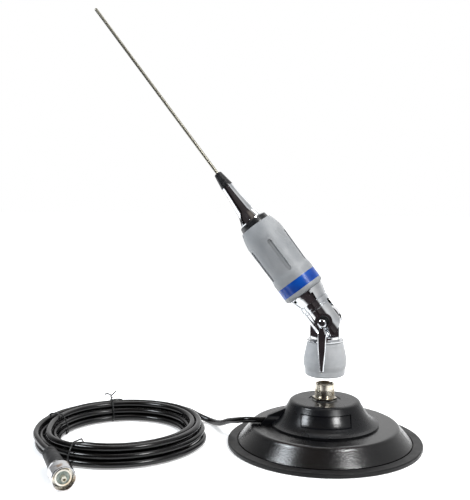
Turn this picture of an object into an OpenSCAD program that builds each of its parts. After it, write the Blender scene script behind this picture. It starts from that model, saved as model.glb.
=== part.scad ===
// Mobile CB antenna on a magnetic base, with its coiled coaxial lead.
// Millimetres, +Z up. The origin is the middle of the base's underside.
// The antenna tilts in the XZ plane and is drawn leaning towards -X, lifted off its socket.

/* [Magnetic base] */
// How far the rubber boot's flange reaches beyond the cup's foot
boot_lip = 8.5; // [5:0.5:14]
// Gap between the boot's flange and the cup
boot_gap = 0.8; // [0.3:0.1:1.5]
// Thickness of the boot's flange
boot_h = 3.6; // [2.6:0.1:5]
// Thickness of the boot's floor, under the magnet
boot_floor = 1.2; // [0.8:0.1:1.8]
// Diameter of the steel cup's flat top
cup_top_d = 118; // [100:1:140]
// How far the cup widens from its top to its foot, on each side
cup_flare = 11; // [8:0.5:16]
// Height of the cup's top above the ground
cup_h = 16.6; // [14:0.1:22]
// Sheet thickness of the cup
cup_wall = 1.2; // [0.8:0.1:2]
// Radial width of the ring magnet
magnet_w = 21; // [15:0.5:24]
// Room between the magnet and the pole piece in its middle
pole_gap = 10; // [8:0.5:12]
// Width of the cup's flat ledge round the dome
ledge_w = 15.4; // [8:0.1:20]
// Diameter of the dome's flat top
dome_top_d = 50; // [44:1:56]
// Height of the dome above the cup
dome_h = 20.1; // [18:0.1:24]
// Wall of the dome
dome_wall = 3; // [2:0.1:4]
// Diameter of the dome's screws
screw_d = 3; // [2:0.1:3.5]
// Width of the sunk label panel on the dome
panel_w = 38.5; // [24:0.5:42]
// Height of the label panel
panel_h = 8.1; // [5:0.1:9]
// Depth of the label panel
panel_depth = 0.6; // [0.3:0.1:1.2]

/* [Socket] */
// Diameter of the socket's thread
thread_d = 15.88; // [15:0.01:17]
// Height of the socket's rim above the dome's top
socket_h = 13.3; // [11:0.1:16]
// Height of the plain collar above the thread
collar_h = 5; // [2:0.1:6]
// Wall of the socket's shell
socket_wall = 1.64; // [1.2:0.01:2]
// Half of what the nut's flats stand out beyond the thread
nut_rim = 0.8; // [0.5:0.1:2]
// Thickness of the socket's nut
nut_h = 1.8; // [1.5:0.1:3]
// Room round the nut in its sunk ring
well_gap = 2.7; // [1.5:0.1:4]
// Wall of the socket's middle contact
contact_wall = 0.6; // [0.4:0.1:1]

/* [Foot of the antenna] */
// Height at which the antenna is shown above its seat
lift = 19.8; // [0:0.1:40]
// Height of the coupling ring
ring_h = 27.3; // [26:0.1:34]
// Wall of the ring at its grip
ring_wall = 4.9; // [3.5:0.1:7]
// How far the ring swells above its grip
ring_bulge = 1.3; // [0.5:0.1:3]
// How far the ring tapers from its grip to its top
ring_taper = 1.4; // [0.5:0.1:3]
// Gap between the seated ring and the dome
ring_gap = 0.5; // [0.3:0.1:1]
// Diameter of the stem's neck
neck_d = 12.4; // [11:0.1:14]
// Diameter of the middle pin
pin_d = 3.96; // [3.8:0.01:4.05]
// Length of the middle pin below the stem's shoulder
pin_drop = 11.2; // [9:0.1:12]

/* [Tilting knuckle] */
// Height of the disc that carries the tongue
disc_h = 4.5; // [4:0.1:8]
// Lean of the antenna from upright, as shown
tilt = 37.5; // [-45:0.5:60]
// Diameter of the fork
fork_d = 24.8; // [22:0.1:26]
// Slot between the fork's ears
slot_w = 9.4; // [7:0.1:11]
// Height of the fork, from the pivot to the housing's foot
fork_h = 27.5; // [26:0.1:36]
// Step from the housing's foot down to the fork
fork_step = 1.9; // [1:0.1:4]
// Diameter of the pivot screw
pivot_d = 5; // [4:0.1:6.4]
// Length of the clamp lever below the pivot
lever_len = 39; // [30:0.5:46]
// Greatest width of the clamp lever
lever_w = 6.6; // [5:0.1:9]
// Thickness of the clamp lever
lever_t = 3.4; // [2.4:0.1:5]

/* [Coil housing] */
// Height of the housing
housing_h = 66.7; // [60:0.1:80]
// Diameter of the housing's waist
housing_waist_d = 33.2; // [30:0.1:40]
// How far the housing swells at its foot, on each side
foot_flare = 0.9; // [0.5:0.1:2.5]
// How far the housing swells at its shoulder, on each side
shoulder_flare = 0.4; // [0:0.1:1.5]
// How far the housing draws in from its waist to its top, on each side
top_draw = 2.5; // [1:0.1:4]
// Wall of the housing
housing_wall = 2.6; // [2:0.1:3.2]
// Number of grooves round the housing
groove_count = 5; // [3:1:8]
// Width of a groove
groove_w = 3.4; // [2:0.1:5]
// Length of a groove
groove_len = 29.5; // [20:0.5:32]
// Depth of a groove
groove_depth = 1.2; // [0.6:0.1:1.6]
// Height of the coloured band
band_h = 8.6; // [4:0.1:9]
// Thickness of the coloured band
band_t = 0.3; // [0.2:0.1:0.5]
// Diameter of the coil's former
former_d = 18; // [16:0.1:20]
// Diameter of the coil's wire
wire_d = 1.6; // [1:0.1:2]
// Number of turns on the coil
coil_turns = 20; // [12:1:24]

/* [Whip] */
// Height of the black ring on the housing
top_ring_h = 4.6; // [3:0.1:7]
// Diameter of the black ring's foot
top_ring_d = 25; // [22:0.1:27]
// Diameter of the bell-shaped holder's foot
bell_d = 20.4; // [18:0.1:21]
// Height of the holder
bell_h = 34.9; // [32:0.1:44]
// Height of the black cap on the holder
cap_h = 13.4; // [10:0.1:18]
// Diameter of the cap's foot
cap_d = 10; // [9:0.1:11]
// Diameter of the whip
whip_d = 2.6; // [2:0.1:3]
// Length of whip that shows above the cap
whip_len = 173; // [120:1:1400]

/* [Lead and plug] */
// Diameter of the coaxial lead
lead_d = 5; // [4.5:0.1:5.4]
// Radius of the lead's coil, to the middle of its turns
coil_r = 60; // [57:0.5:61]
// Width of the bundle of turns
bundle_w = 23; // [19:0.5:24]
// Height of the bundle of turns
bundle_h = 16.5; // [14:0.5:18]
// Thickness of a tie round the bundle
tie_t = 0.8; // [0.5:0.1:1.5]
// Wall of the plug's ring
plug_wall = 0.76; // [0.5:0.02:1.6]
// Length of the plug's ring
plug_ring_l = 19; // [17:0.5:22]
// Length of the plug's sleeve
sleeve_l = 31; // [28:0.5:38]
// Diameter of the sleeve at the ring
sleeve_d = 12.6; // [12:0.1:13.6]

/* [Hidden] */

$fn = 96;
clearance = 0.3; // between pieces that move past each other
fit = 0.05; // between pieces that sit in each other
over = 1; // how far a cut runs past a face

// Directions round the dome: where the cable leaves, and where the label panel is
outlet_turn = 194;
panel_turn = -80;

// Diameters in the base
cup_foot_d = cup_top_d + 2 * cup_flare;
boot_d = cup_foot_d + 2 * boot_lip;
magnet_play = 4.8;
magnet_d = cup_top_d - 2 * (cup_wall + magnet_play);
magnet_hole_d = magnet_d - 2 * magnet_w;
pole_d = magnet_hole_d - 2 * pole_gap;
dome_d = cup_top_d - 2 * ledge_w;
screw_circle_d = pole_d + pole_gap;

// Heights in the base
cup_under = cup_h - cup_wall;
dome_top = cup_h + dome_h;
panel_mid = cup_h + dome_h * 0.51;
well_depth = 0.5;
well_z = dome_top - well_depth;
dome_under = dome_top - dome_wall;
washer_t = 0.4;
nut_z = well_z + washer_t;
rim_z = dome_top + socket_h;
screw_head_d = 1.9 * screw_d;
screw_head_h = 0.6 * screw_d;
boss_d = screw_d + 4;

// Cable outlet
outlet_start = dome_d / 2 - 17.6;
outlet_end = dome_d / 2 + 8.4;
outlet_wall = 1.4;
web_t = 3.4;

// Socket
socket_bore_d = thread_d - 2 * socket_wall;
nut_af = thread_d + 2 * nut_rim;
nut_corners = nut_af / cos(30);
nut_well_d = nut_corners + 2 * well_gap;
contact_bore_d = pin_d + 0.64;
contact_d = contact_bore_d + 2 * contact_wall;
socket_flange_d = thread_d + 5;
socket_flange_h = 2;
socket_base = dome_under - socket_flange_h;
neck_bore_d = contact_d + 2.2;
notch_turn = 59;
insulator_top = rim_z - 2.1;
contact_top = rim_z - 1.5;

// Foot of the antenna
shoulder_z = rim_z + clearance + lift;
ring_drop = socket_h + clearance - ring_gap;
ring_z = shoulder_z - ring_drop;
ring_top = ring_z + ring_h;
mouth_d = nut_corners + 2;
ring_grip_d = mouth_d + 2 * ring_wall;
ring_belly_d = ring_grip_d + 2 * ring_bulge;
ring_top_d = ring_grip_d - 2 * ring_taper;
mouth_h = nut_z + nut_h + clearance - (rim_z + clearance - ring_drop) + 0.6;
stem_flange_h = 2.4;
nose_d = socket_bore_d - 2 * clearance;
nose_h = 1.4;
pin_sleeve_d = pin_d + 3.24;
pin_sleeve_h = 8;
spigot_d = neck_d - 2.4;
spigot_h = 2.6;

// Coil housing's diameters
housing_foot_d = housing_waist_d + 2 * foot_flare;
housing_shoulder_d = housing_waist_d + 2 * shoulder_flare;
housing_top_d = housing_waist_d - 2 * top_draw;

// Knuckle
fork_r = fork_d / 2;
tongue_r = fork_r;
disc_z = ring_top + clearance;
disc_top = disc_z + disc_h;
pivot_z = disc_top + clearance + fork_r;
disc_r = tongue_r - 0.2;
flange_r = ring_top_d / 2 - 0.9;
flange_h = 1.9;
face_gap = 0.1;
tongue_t = slot_w - 2 * face_gap;
slot_end = tongue_r + clearance + 0.1;
washer_d = pivot_d + 8;
spot_d = washer_d + 1;
spot_y = sqrt(pow(fork_r, 2) - pow(spot_d / 2, 2)) - 0.1;
pivot_nut_af = pivot_d + 5;
fork_top_d = housing_foot_d - 2 * fork_step;
pivot_washer_t = 1.2;
spacer_d = pivot_d + 4.6;
spacer_t = 1.6;
hub_d = pivot_d + 1.8;
hub_y = spot_y + pivot_washer_t + spacer_t;
lever_y = max(ring_belly_d, housing_foot_d) / 2 + 2 * clearance;
lever_front = lever_y + lever_t;
screw_in = 1.4;
lever_tip = 1.8;
pivot_nut_h = 5;
screw_tail = spot_y + pivot_washer_t + pivot_nut_h + 1.4;

// Heights along the tilted antenna, from the pivot
housing_top = fork_h + housing_h;
holder_z = housing_top + top_ring_h;
cap_z = holder_z + bell_h;
cap_top = cap_z + cap_h;
whip_top = cap_top + whip_len;
spigot_in = 12;
stud_d = 12.8;
stud_in = 14;
band_z = fork_h + 4;
band_r = housing_foot_d / 2;
flare_z = band_z + band_h + 4.5;
waist_z = fork_h + 23;
shoulder_up = housing_top - 13;
groove_z = housing_top - 16.2 - groove_len / 2;
groove_turn = -74;
turn_pitch = 0.97 * wire_d;
winding_h = turn_pitch * (coil_turns - 1) + wire_d;
winding_z = fork_h + (housing_h - winding_h) / 2;
cap_tip = whip_d / 2 + 1.9;
cap_spigot_d = whip_d + 3.8;
cap_spigot_h = 0.45 * cap_h;
whip_bore_z = holder_z + 3.4;
whip_slide_down = 10;
whip_foot = whip_bore_z + whip_slide_down + 2;
grub_d = 3;
grub_z = [holder_z + 11, holder_z + 17];

// Lead: the coil's middle and the points of the two free stretches, chosen by hand
coil_x = -162.5;
coil_y = -32.5;
lead_z = cup_h + lead_d / 2 + 0.2;
lead_route = [
    [-42.7, -10.65, lead_z], [-51.4, -12.8, lead_z], [-55.3, -13.8, lead_z], [-63, -13, 18.6],
    [-71.5, -7.5, 15.8], [-81, 2.5, 11.5], [-91, 13.5, 5.6], [-101, 24.5, 2.8],
    [-110, 28.5, 4], [-119, 31, 6.5], [-124.5, 33, 8], [-133.5, 36.5, 8.5],
    [-147.5, 38.5, 8.5], [-161.5, 36.5, 8.5]
];
tail_route = [[-203.5, -91, 11.5], [-217, -75, 12]];
tie_angles = [121, 179, 258];
tie_width = 1.3;

// Plug: the middle of its rim, and the way it points
plug_bore_d = thread_d + 0.2;
plug_d = plug_bore_d + 2 * plug_wall;
plug_yaw = -52;
plug_pitch = 2.5;
plug_rim = [-160, -144, plug_d / 2 * cos(plug_pitch) + 0.05];
plug_way = [
    cos(plug_yaw) * cos(plug_pitch), sin(plug_yaw) * cos(plug_pitch), -sin(plug_pitch)
];
plug_back = plug_ring_l + 0.4;
sleeve_end = plug_back + sleeve_l;
tail_start = plug_rim - sleeve_end * plug_way;
body_d = sleeve_d - 2.2;
body_l = plug_back + 16;
plug_step = 9.3;

// Shape helpers
function bez(a, b, c, d, n = 8) = [
    for (i = [0 : n])
        let (t = i / n, u = 1 - t)
            u * u * u * a + 3 * t * u * u * b + 3 * t * t * u * c + t * t * t * d
];

function arc(x, y, r, from, to, n = 6) = [
    for (i = [0 : n])
        let (a = from + (to - from) * i / n)
            [x + r * cos(a), y + r * sin(a)]
];

module turned(points) {
    rotate_extrude(convexity = 8)
        polygon(points);
}

module rod(d, from, to) {
    translate([0, 0, from])
        cylinder(d = d, h = to - from);
}

module tube(outer, inner, from, to) {
    difference() {
        rod(outer, from, to);
        rod(inner, from - over, to + over);
    }
}

module hexagon(af, h) {
    cylinder(d = af / cos(30), h = h, $fn = 6);
}

// A rod along Y, which is the pivot's axis
module cross_rod(d, from, to) {
    translate([0, from, 0])
        rotate([-90, 0, 0])
            cylinder(d = d, h = to - from);
}

// Places a piece at the pivot, upright or along the tilted antenna
module at_pivot() {
    translate([0, 0, pivot_z])
        children();
}

module on_mast() {
    at_pivot()
        rotate([0, -tilt, 0])
            children();
}

// Magnetic base
module magnet_boot() {
    outer = boot_d / 2;
    inner = cup_foot_d / 2 + boot_gap;
    lip = 1;
    color("#2a2a2b")
        turned(concat(
            [[0, 0], [outer - lip, 0]],
            arc(outer - lip, lip, lip, -60, 0, 3),
            arc(outer - lip, boot_h - lip, lip, 0, 90, 5),
            [[inner, boot_h], [inner, boot_floor], [0, boot_floor]]
        ));
}

// Half outline of the cup's sheet, set in by the given amount
function cup_side(in) = concat(
    [[cup_foot_d / 2 - in, boot_floor], [cup_foot_d / 2 - in, boot_h + 0.4]],
    bez(
        [cup_top_d / 2 + 2 - in, cup_h - 2.4 - in], [cup_top_d / 2 + 0.6 - in, cup_h - 0.5 - in],
        [cup_top_d / 2 - in, cup_h - in], [cup_top_d / 2 - 2.6 - in, cup_h - in]
    ),
    [[0, cup_h - in]]
);

module magnet_cup() {
    color("#1d1e20")
        difference() {
            turned(concat([[0, boot_floor]], cup_side(0)));
            turned(concat([[0, boot_floor - over]],
                [[cup_foot_d / 2 - cup_wall, boot_floor - over]], cup_side(cup_wall)));
            dome_screw_places()
                rod(screw_d + 0.4, cup_under - over, cup_h + over);
        }
}

module ring_magnet() {
    color("#4a4a4c")
        tube(magnet_d, magnet_hole_d, boot_floor, cup_under);
}

module pole_piece() {
    color("#8d8f92")
        rod(pole_d, boot_floor, cup_under);
}

module dome_screw_places() {
    for (i = [0 : 2])
        rotate([0, 0, outlet_turn + 60 + 120 * i])
            translate([screw_circle_d / 2, 0, 0])
                children();
}

module dome_screws() {
    color("#c9ccd0")
        dome_screw_places() {
            rod(screw_d, cup_under - over / 2, cup_h + 8);
            rod(screw_head_d, cup_under - screw_head_h, cup_under);
        }
}

// Half outline of the dome's side, set in by the given amount
function dome_side(in) = concat(
    [[dome_d / 2 - in, cup_h], [dome_d / 2 - in, cup_h + 1.4]],
    bez(
        [dome_d / 2 - 1.2 - in, cup_h + 1.9], [dome_d / 2 - 6.1 - in, cup_h + 3.6],
        [dome_top_d / 2 + 8 - in, cup_h + dome_h / 2], [dome_top_d / 2 + 4 - in, dome_top - 2.6], 10
    )
);

module dome_outside() {
    turned(concat(
        [[0, cup_h]], dome_side(0),
        bez(
            [dome_top_d / 2 + 3.7, dome_top - 2], [dome_top_d / 2 + 3.2, dome_top - 1],
            [dome_top_d / 2 + 1.6, dome_top], [dome_top_d / 2, dome_top], 6
        ),
        [[0, dome_top]]
    ));
}

module dome_inside() {
    turned(concat(
        [[0, cup_h - over], [dome_d / 2 - dome_wall, cup_h - over]], dome_side(dome_wall),
        [[dome_top_d / 2, dome_under], [0, dome_under]]
    ));
}

module base_dome() {
    color("#232427")
        difference() {
            union() {
                difference() {
                    dome_outside();
                    dome_inside();
                }
                intersection() {
                    dome_outside();
                    dome_screw_places()
                        rod(boss_d, cup_h, dome_top);
                }
            }
            rod(nut_well_d, well_z, dome_top + over);
            rod(thread_d + 2 * fit, cup_h, dome_top);
            dome_screw_places()
                rod(screw_d + 2 * fit, cup_h - over, cup_h + 8.4);
            label_panel();
            outlet_shape(fit);
        }
}

// The label panel follows the dome's side at an even depth
module label_panel() {
    rotate([0, 0, panel_turn])
        translate([dome_top_d / 2 - 5, -panel_w / 2, panel_mid - panel_h / 2])
            difference() {
                cube([dome_d / 2, panel_w, panel_h]);
                translate([5 - dome_top_d / 2, panel_w / 2, panel_h / 2 - panel_mid])
                    turned(concat([[0, cup_h]], dome_side(panel_depth), [[0, dome_top]]));
            }
}

// The outlet's body: a round-topped channel that stands on the cup and runs through the dome
module outlet_shape(grow) {
    r = lead_d / 2 + outlet_wall + grow;
    below = grow > 0 ? over : 0;
    rotate([0, 0, outlet_turn])
        translate([outlet_start, 0, 0]) {
            translate([0, 0, lead_z])
                rotate([0, 90, 0])
                    cylinder(r = r, h = outlet_end - outlet_start);
            translate([0, -r, cup_h - below])
                cube([outlet_end - outlet_start, 2 * r, lead_z - cup_h + below]);
        }
}

module cable_outlet() {
    color("#17181a")
        difference() {
            union() {
                outlet_shape(0);
                rotate([0, 0, outlet_turn])
                    translate([0, web_t / 2, 0])
                        rotate([90, 0, 0])
                            linear_extrude(web_t)
                                difference() {
                                    polygon([
                                        [outlet_start + 2, lead_z], [outlet_end - 5, lead_z],
                                        [outlet_end - 5, lead_z + lead_d / 2 + outlet_wall - 0.2],
                                        [outlet_end - 7, lead_z + lead_d / 2 + outlet_wall + 0.6],
                                        [outlet_start + 2, lead_z + lead_d / 2 + 9]
                                    ]);
                                    polygon(concat([[0, cup_h]], dome_side(-fit), [[0, dome_top]]));
                                }
            }
            rotate([0, 0, outlet_turn])
                translate([0, -thread_d, cup_h - thread_d])
                    cube([2 * outlet_end, 2 * thread_d, thread_d]);
            rotate([0, 0, outlet_turn])
                translate([outlet_end + 0.9, -10, cup_h - over])
                    rotate([0, -42, 0])
                        cube([20, 20, 20]);
            rotate([0, 0, outlet_turn])
                translate([0, 0, lead_z])
                    rotate([0, 90, 0])
                        cylinder(d = lead_d + 2 * fit, h = outlet_end + over);
        }
}

// Socket
module socket_shell() {
    collar_z = rim_z - collar_h;
    color("#cfcab8")
        difference() {
            union() {
                rod(socket_flange_d, socket_base, dome_under);
                rod(thread_d, dome_under - fit, collar_z);
                turned([
                    [0, collar_z], [thread_d / 2 - 0.4, collar_z], [thread_d / 2 - 0.4, rim_z - 0.6],
                    [thread_d / 2 - 0.9, rim_z], [0, rim_z]
                ]);
            }
            rod(socket_bore_d, dome_under, rim_z + over);
            rod(neck_bore_d, socket_base - over, dome_under + over);
            for (i = [0 : 3])
                rotate([0, 0, notch_turn + 90 * i])
                    translate([socket_bore_d / 2 - 0.5, -0.8, rim_z - 0.9])
                        cube([thread_d, 1.6, 2 * over]);
        }
}

module socket_insulator() {
    color("#eeeeea")
        difference() {
            union() {
                rod(socket_bore_d - 2 * fit, dome_under, insulator_top);
                rod(neck_bore_d - 2 * fit, socket_base - 1.6, dome_under + fit);
            }
            rod(contact_d + 2 * fit, socket_base - 2 * over, insulator_top + over);
        }
}

module socket_contact() {
    color("#d8b768")
        difference() {
            union() {
                rod(contact_d, socket_base - 1.6, contact_top);
                rod(contact_d / 2, socket_base - 5, socket_base - 1.5);
            }
            rod(contact_bore_d, rim_z - pin_drop - 2.7, rim_z);
        }
}

module socket_washer() {
    color("#b9bbbd")
        tube(nut_af + 1.4, thread_d + 2 * fit, well_z, nut_z);
}

module socket_nut() {
    color("#cfcab8")
        difference() {
            translate([0, 0, nut_z])
                hexagon(nut_af, nut_h);
            rod(thread_d + 2 * fit, nut_z - over, nut_z + nut_h + over);
        }
}

// Coaxial lead
function unit(v) = v / norm(v);

// Points of a smooth curve through the given ones, n to each stretch
function smooth(p, n) = concat(
    [
        for (i = [0 : len(p) - 2], k = [0 : n - 1])
            let (
                t = k / n,
                a = p[max(i - 1, 0)], b = p[i], c = p[i + 1], d = p[min(i + 2, len(p) - 1)]
            )
                0.5 * (2 * b + (c - a) * t + (2 * a - 5 * b + 4 * c - d) * t * t
                    + (3 * b - a - 3 * c + d) * t * t * t)
    ],
    [p[len(p) - 1]]
);

// A round tube swept along a path, closed at both ends
module swept(path, d, sides = 10) {
    n = len(path);
    way = [for (i = [0 : n - 1]) unit(path[min(i + 1, n - 1)] - path[max(i - 1, 0)])];
    rings = [
        for (i = [0 : n - 1])
            let (a = unit(cross(way[i], [0, 0, 1])), b = cross(a, way[i]))
                for (k = [0 : sides - 1])
                    path[i] + d / 2 * (cos(360 * k / sides) * a + sin(360 * k / sides) * b)
    ];
    walls = [
        for (i = [0 : n - 2], k = [0 : sides - 1])
            let (l = (k + 1) % sides)
                each [
                    [i * sides + k, i * sides + l, (i + 1) * sides + k],
                    [i * sides + l, (i + 1) * sides + l, (i + 1) * sides + k]
                ]
    ];
    ends = [[for (k = [sides - 1 : -1 : 0]) k], [for (k = [0 : sides - 1]) (n - 1) * sides + k]];
    polyhedron(rings, concat(walls, ends), convexity = 8);
}

module lead() {
    color("#1b1b1d")
        swept(smooth(lead_route, 2), lead_d);
}

// Half outline of the bundle of turns, grown by the given amount
function bundle(grow) = concat(
    arc(coil_r + bundle_w / 2 - 4, 4, 4 + grow, -90, 0, 4),
    arc(coil_r + bundle_w / 2 - 8, bundle_h - 8, 8 + grow, 0, 90, 8),
    arc(coil_r - bundle_w / 2 + 6, bundle_h - 6, 6 + grow, 90, 180, 8),
    arc(coil_r - bundle_w / 2 + 4, 4, 4 + grow, 180, 270, 4)
);

// The ties lie under the bundle too, so it is raised by one tie
module at_coil() {
    translate([coil_x, coil_y, tie_t])
        children();
}

module lead_coil() {
    color("#1b1b1d")
        at_coil()
            turned(bundle(0));
}

module lead_tail() {
    color("#1b1b1d")
        swept(smooth(concat([tail_start, tail_start - 7 * plug_way], tail_route), 2), lead_d);
}

module coil_ties() {
    sweep = tie_width / coil_r * 180 / PI;
    color("#101011")
        at_coil()
            for (a = tie_angles)
                rotate([0, 0, a])
                    rotate_extrude(angle = sweep, convexity = 4)
                        difference() {
                            polygon(bundle(tie_t));
                            polygon(bundle(0));
                        }
}

// Plug at the lead's end, drawn along +Z with its rim at the origin
module at_plug() {
    translate(plug_rim)
        rotate([0, 90 + plug_pitch, plug_yaw])
            children();
}

module plug_sleeve() {
    color("#242426")
        at_plug()
            difference() {
                turned([
                    [0, -sleeve_end], [lead_d / 2 + 2.7, -sleeve_end],
                    [lead_d / 2 + 3, 1.6 - sleeve_end], [lead_d / 2 + 2.7, 2 - sleeve_end],
                    [lead_d / 2 + 2.7, 2.6 - sleeve_end], [lead_d / 2 + 3.1, 3 - sleeve_end],
                    [lead_d / 2 + 3.1, 4.6 - sleeve_end], [lead_d / 2 + 2.8, 5 - sleeve_end],
                    [lead_d / 2 + 2.8, 5.6 - sleeve_end], [lead_d / 2 + 3.2, 6 - sleeve_end],
                    [sleeve_d / 2, 8 - plug_back - sleeve_l / 2], [sleeve_d / 2, -plug_back - 1],
                    [sleeve_d / 2 - 0.6, -plug_back], [0, -plug_back]
                ]);
                rod(body_d + 2 * fit, -body_l, over - plug_back);
            }
}

module plug_body() {
    color("#c9c9c6")
        at_plug()
            difference() {
                union() {
                    rod(body_d, -body_l, -3);
                    rod(plug_bore_d - 0.8, -plug_step, 1.8 - plug_step);
                    rod(nose_d, -plug_step, -2.4);
                }
                rod(nose_d - 2.4, -14, 0);
            }
}

module plug_insulator() {
    color("#d9dccb")
        at_plug()
            tube(nose_d - 2.4 - 2 * fit, pin_d + 2 * fit, -14, -3);
}

module plug_pin() {
    color("#e4dfd0")
        at_plug()
            difference() {
                turned([
                    [0, -13.9], [pin_d / 2, -13.9], [pin_d / 2, 0.6], [pin_d / 2 - 0.6, 1.4], [0, 1.4]
                ]);
                rod(pin_d - 1.8, -3, 2);
            }
}

module plug_ring() {
    color("#c6c6c4")
        at_plug()
            difference() {
                turned([
                    [0, -plug_ring_l], [sleeve_d / 2 + 0.2, -plug_ring_l],
                    [sleeve_d / 2 + 1, 0.8 - plug_ring_l], [plug_d / 2, 6.5 - plug_ring_l],
                    [plug_d / 2, -0.6], [plug_d / 2 - 0.5, 0], [0, 0]
                ]);
                rod(plug_bore_d, -plug_step - clearance, over);
                rod(body_d + 2 * clearance, -plug_ring_l - over, 0);
            }
}

// Foot of the antenna
module coupling_ring() {
    grip = ring_grip_d / 2;
    belly = ring_belly_d / 2;
    edge = 1.5;
    color("#8f9296")
        difference() {
            turned(concat(
                [[0, ring_z]],
                arc(grip - edge, ring_z + edge, edge, -90, 0, 5),
                [[grip, ring_z + 4]],
                bez(
                    [grip, ring_z + 4.4], [grip + 0.3, ring_z + 6.2],
                    [belly - 0.1, ring_z + 7.4], [belly, ring_z + 9.4], 5
                ),
                bez(
                    [belly, ring_z + 12], [belly - 0.3, ring_z + 16],
                    [ring_top_d / 2 + 0.9, ring_top - 6], [ring_top_d / 2 + 0.2, ring_top - 1.6], 8
                ),
                [
                    [ring_top_d / 2 - 0.2, ring_top - 1.3], [ring_top_d / 2 - 0.2, ring_top - 0.4],
                    [ring_top_d / 2 - 0.6, ring_top], [0, ring_top]
                ]
            ));
            rod(mouth_d, ring_z - over, ring_z + mouth_h);
            rod(thread_d + 2 * clearance, ring_z, shoulder_z + stem_flange_h + clearance);
            rod(neck_d + 2 * clearance, shoulder_z, ring_top + over);
        }
}

module stem() {
    color("#b8b8b4")
        difference() {
            union() {
                rod(nose_d, shoulder_z - nose_h, shoulder_z);
                rod(thread_d, shoulder_z, shoulder_z + stem_flange_h);
                rod(neck_d, shoulder_z + stem_flange_h, disc_z);
                rod(spigot_d - 2 * fit, disc_z, disc_z + spigot_h);
            }
            rod(pin_sleeve_d, shoulder_z - nose_h - over, shoulder_z - nose_h + pin_sleeve_h);
        }
}

module stem_insulator() {
    color("#eeeeea")
        tube(
            pin_sleeve_d - 2 * fit, pin_d + 2 * fit,
            shoulder_z - nose_h, shoulder_z - nose_h + pin_sleeve_h
        );
}

module stem_pin() {
    tip = shoulder_z - pin_drop;
    color("#d8b768")
        turned([
            [0, tip], [pin_d / 2 - 0.9, tip], [pin_d / 2, tip + 1],
            [pin_d / 2, shoulder_z - nose_h + pin_sleeve_h], [0, shoulder_z - nose_h + pin_sleeve_h]
        ]);
}

module swivel_base() {
    color("#d6d8da")
        difference() {
            union() {
                turned(concat(
                    [[0, disc_z], [flange_r, disc_z]],
                    arc(flange_r, disc_z + flange_h / 2, flange_h / 2, -60, 60, 4),
                    [
                        [disc_r + 0.5, disc_z + flange_h + 0.1], [disc_r, disc_z + flange_h + 0.7],
                        [disc_r, disc_top - 0.4], [disc_r - 0.4, disc_top], [0, disc_top]
                    ]
                ));
                intersection() {
                    union() {
                        translate([-tongue_r, -tongue_t / 2, disc_z + flange_h])
                            cube([2 * tongue_r, tongue_t, pivot_z - disc_z - flange_h]);
                        at_pivot()
                            cross_rod(2 * tongue_r, -tongue_t / 2, tongue_t / 2);
                    }
                    rod(2 * tongue_r, disc_z, pivot_z + 2 * tongue_r);
                }
            }
            at_pivot()
                cross_rod(pivot_d + 2 * fit, -tongue_r, tongue_r);
            rod(spigot_d, disc_z - over, disc_z + spigot_h + 0.2);
        }
}

// Knuckle
module knuckle_fork() {
    top_r = fork_top_d / 2;
    color("#dcdee0")
        on_mast()
            difference() {
                union() {
                    intersection() {
                        turned([
                            [0, -2 * fork_r], [fork_r, -2 * fork_r], [fork_r, 10.8],
                            [fork_r - 0.3, 11], [fork_r - 0.3, 11.3], [fork_r + 0.2, 11.6],
                            [fork_r + 0.2, 12.8], [fork_r - 0.1, 13], [fork_r - 0.1, 13.4],
                            [fork_r + 0.8, 13.7], [fork_r + 0.8, 16.9], [fork_r + 0.2, 17.2],
                            [fork_r + 0.2, 17.6], [fork_r + 0.8, 17.9],
                            [top_r - 0.5, fork_h - 3.3], [top_r, fork_h - 1],
                            [top_r, fork_h - 0.4], [top_r - 0.4, fork_h], [0, fork_h]
                        ]);
                        union() {
                            cross_rod(fork_d, -fork_d, fork_d);
                            translate([-fork_d, -fork_d, 0])
                                cube([2 * fork_d, 2 * fork_d, 2 * fork_h]);
                        }
                    }
                    rod(former_d - 4, fork_h - over, fork_h + spigot_in);
                }
                translate([-fork_d, -slot_w / 2, -fork_d])
                    cube([2 * fork_d, slot_w, fork_d + slot_end]);
                cross_rod(pivot_d + 2 * fit, -fork_d, fork_d);
                cross_rod(spot_d, spot_y, fork_d);
                cross_rod(spot_d, -fork_d, -spot_y);
            }
}

module pivot_screw() {
    color("#b5b7ba")
        on_mast()
            cross_rod(pivot_d, screw_in - lever_front, screw_tail);
}

module washer(d, hole, from, t) {
    difference() {
        cross_rod(d, from, from + t);
        cross_rod(hole, from - over, from + t + over);
    }
}

module lever_washer() {
    color("#e2e4e6")
        on_mast()
            washer(washer_d, pivot_d + 2 * fit, -spot_y - pivot_washer_t, pivot_washer_t);
}

module spacer_washer() {
    color("#141415")
        on_mast()
            washer(spacer_d, pivot_d + 2 * fit, -hub_y + fit, spacer_t - fit);
}

module nut_washer() {
    color("#e2e4e6")
        on_mast()
            washer(washer_d, pivot_d + 2 * fit, spot_y, pivot_washer_t);
}

module pivot_nut() {
    color("#c6c8ca")
        on_mast()
            difference() {
                translate([0, spot_y + pivot_washer_t, 0])
                    rotate([-90, 0, 0])
                        hexagon(pivot_nut_af, pivot_nut_h);
                cross_rod(pivot_d + 2 * fit, 0, fork_d);
            }
}

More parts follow.
